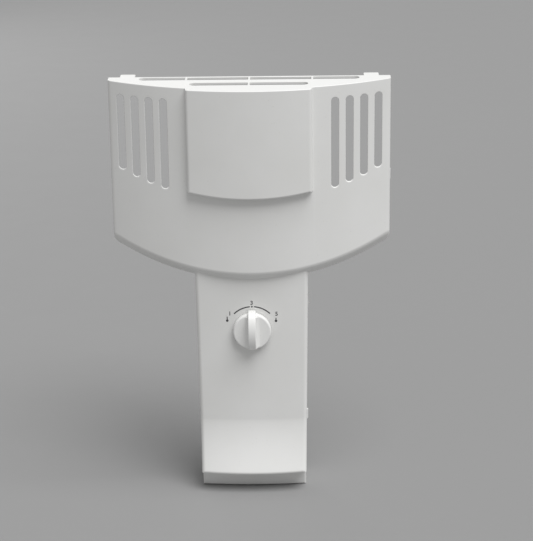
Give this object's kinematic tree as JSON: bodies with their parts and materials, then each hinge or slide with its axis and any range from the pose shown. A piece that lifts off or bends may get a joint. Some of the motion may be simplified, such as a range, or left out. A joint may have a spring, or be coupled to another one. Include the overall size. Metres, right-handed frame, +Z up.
{
  "type": "freezer air diffuser",
  "caption": "Wall-mounted air diffuser: slotted bowl on a flared duct column, with a round pointer knob that turns a butterfly damper vane inside.",
  "frame": {"origin": "middle of the foot's underside, centred on the whole box", "axes": "+X right seen from the front, +Y back towards the wall, +Z up along the column"},
  "size_m": [0.2858, 0.0732, 0.438],
  "materials": {
    "white_abs": "satin",
    "knob_abs": "satin",
    "acetal": "satin",
    "grey_nylon": "matte",
    "zinc_steel": "satin",
    "white_foam": "matte",
    "soft_foam": "matte",
    "dial_ink": "matte"
  },
  "bodies": {
    "cover": {"duct_cover": "white_abs", "stem_bush": "acetal", "pivot_bracket": "grey_nylon", "core_washer_left": "grey_nylon", "core_washer_right": "grey_nylon", "wave_washer": "zinc_steel", "bracket_screw_left": "zinc_steel", "bracket_screw_right": "zinc_steel", "core_screw_left": "zinc_steel", "core_screw_right": "zinc_steel", "foam_liner_left": "white_foam", "foam_liner_right": "white_foam", "foam_liner_front": "white_foam", "foam_plenum_core": "white_foam", "duct_seal_left_lower": "soft_foam", "duct_seal_left_upper": "soft_foam", "duct_seal_right_lower": "soft_foam", "duct_seal_right_upper": "soft_foam"},
    "knob": {"control_knob": "knob_abs", "knob_spring_clip": "zinc_steel", "stem_retaining_ring": "zinc_steel", "damper_stem": "acetal", "damper_vane": "acetal", "vane_set_screw": "zinc_steel", "vane_seal_left": "soft_foam", "vane_seal_right": "soft_foam"}
  },
  "joints": [
    {"name": "knob_turn", "type": "hinge", "parent": "cover", "child": "knob", "pos_m": [0, 0, 0.1805], "axis": [0, 1, 0], "range_deg": [-45, 45]}
  ]
}
